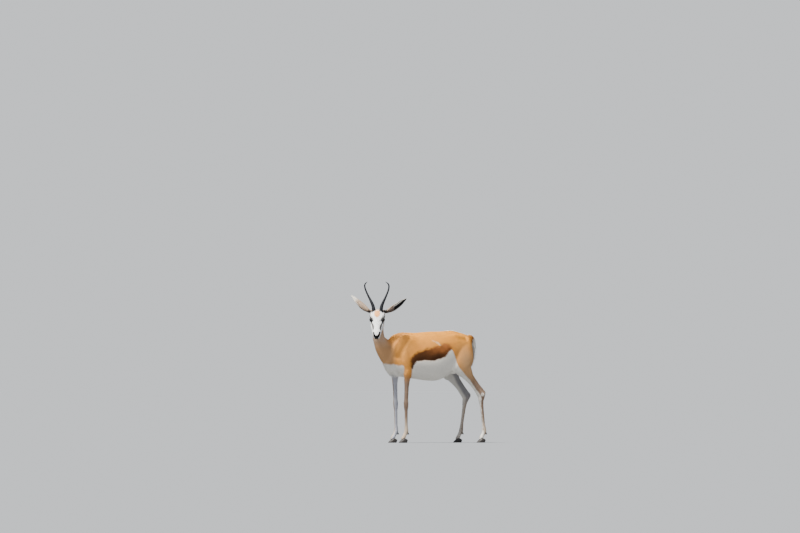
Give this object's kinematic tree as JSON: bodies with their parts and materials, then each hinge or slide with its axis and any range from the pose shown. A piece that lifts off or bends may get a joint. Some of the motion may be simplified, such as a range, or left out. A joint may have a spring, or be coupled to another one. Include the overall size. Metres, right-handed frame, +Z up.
{
  "type": "springbok",
  "caption": "Life-size standing gazelle-like antelope with ringed hooked horns, long pointed ears, dark flank stripes and hoofed slender legs; museum-style model.",
  "frame": {"origin": "on the floor, under the middle of the bounding box", "axes": "+Z up; the animal faces -X and its left side faces -Y"},
  "size_m": [0.9746, 0.3072, 1.109],
  "materials": {
    "coat": "short hair, matte",
    "face_coat": "short white hair, matte",
    "ear_coat": "thin short hair, matte",
    "tail_hair": "white hair with a dark tuft, matte",
    "horn": "ringed horn, satin",
    "hoof": "hoof horn, satin",
    "eye": "wet gloss"
  },
  "bodies": {
    "root": {"dewclaw_foreleg_left_inner": "hoof", "dewclaw_foreleg_left_outer": "hoof", "dewclaw_foreleg_right_inner": "hoof", "dewclaw_foreleg_right_outer": "hoof", "dewclaw_hind_leg_left_inner": "hoof", "dewclaw_hind_leg_left_outer": "hoof", "dewclaw_hind_leg_right_inner": "hoof", "dewclaw_hind_leg_right_outer": "hoof", "ear_left": "ear_coat", "ear_right": "ear_coat", "eye_left": "eye", "eye_right": "eye", "foreleg_left": "coat", "foreleg_right": "coat", "head": "face_coat", "hind_leg_left": "coat", "hind_leg_right": "coat", "hoof_foreleg_left_inner": "hoof", "hoof_foreleg_left_outer": "hoof", "hoof_foreleg_right_inner": "hoof", "hoof_foreleg_right_outer": "hoof", "hoof_hind_leg_left_inner": "hoof", "hoof_hind_leg_left_outer": "hoof", "hoof_hind_leg_right_inner": "hoof", "hoof_hind_leg_right_outer": "hoof", "horn_left": "horn", "horn_right": "horn", "neck": "coat", "tail": "tail_hair", "torso": "coat"}
  },
  "joints": []
}
